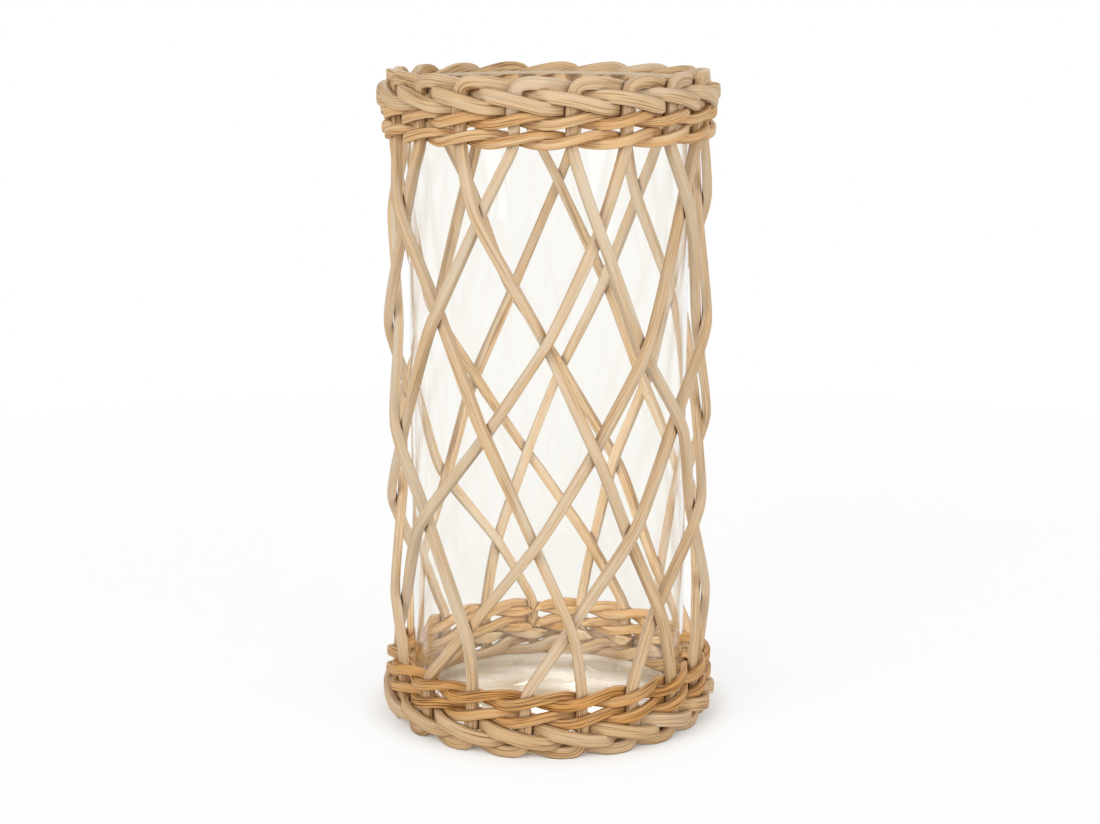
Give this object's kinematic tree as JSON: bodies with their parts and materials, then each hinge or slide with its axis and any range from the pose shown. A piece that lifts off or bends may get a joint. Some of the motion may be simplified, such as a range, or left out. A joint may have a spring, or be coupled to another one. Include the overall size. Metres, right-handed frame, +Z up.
{
  "type": "glass cylinder vase in a rattan sleeve",
  "caption": "Straight glass cylinder vase standing in an open lattice sleeve of woven rattan cane with plaited borders at rim and foot; the glass lifts out.",
  "frame": {"origin": "on the table in the middle of the foot, under the axis of the glass", "axes": "+Z up along the glass; -Y towards the viewer of the reference picture; +X to their right"},
  "size_m": [0.1552, 0.1545, 0.295],
  "materials": {
    "glass": "clear, smooth, fire-polished rim",
    "stake_cane": "natural pale rattan cane, uncoated, fine lengthwise grain",
    "weaver_cane": "natural golden rattan cane, uncoated, fine lengthwise grain"
  },
  "bodies": {
    "sleeve": {"stake_right_1": "stake_cane", "stake_left_1": "stake_cane", "stake_right_2": "stake_cane", "stake_left_2": "stake_cane", "stake_right_3": "stake_cane", "stake_left_3": "stake_cane", "stake_right_4": "stake_cane", "stake_left_4": "stake_cane", "stake_right_5": "stake_cane", "stake_left_5": "stake_cane", "stake_right_6": "stake_cane", "stake_left_6": "stake_cane", "stake_right_7": "stake_cane", "stake_left_7": "stake_cane", "stake_right_8": "stake_cane", "stake_left_8": "stake_cane", "stake_right_9": "stake_cane", "stake_left_9": "stake_cane", "rim_outer_weaver_a": "weaver_cane", "rim_outer_weaver_b": "weaver_cane", "rim_inner_weaver_a": "weaver_cane", "rim_inner_weaver_b": "weaver_cane", "foot_outer_weaver_a": "weaver_cane", "foot_outer_weaver_b": "weaver_cane", "foot_inner_weaver_a": "weaver_cane", "foot_inner_weaver_b": "weaver_cane"},
    "glass": {"glass_cylinder": "glass"}
  },
  "joints": [
    {"name": "glass_lift", "type": "slide", "parent": "sleeve", "child": "glass", "axis": [0, 0, 1], "range_m": [0, 0.3]}
  ]
}
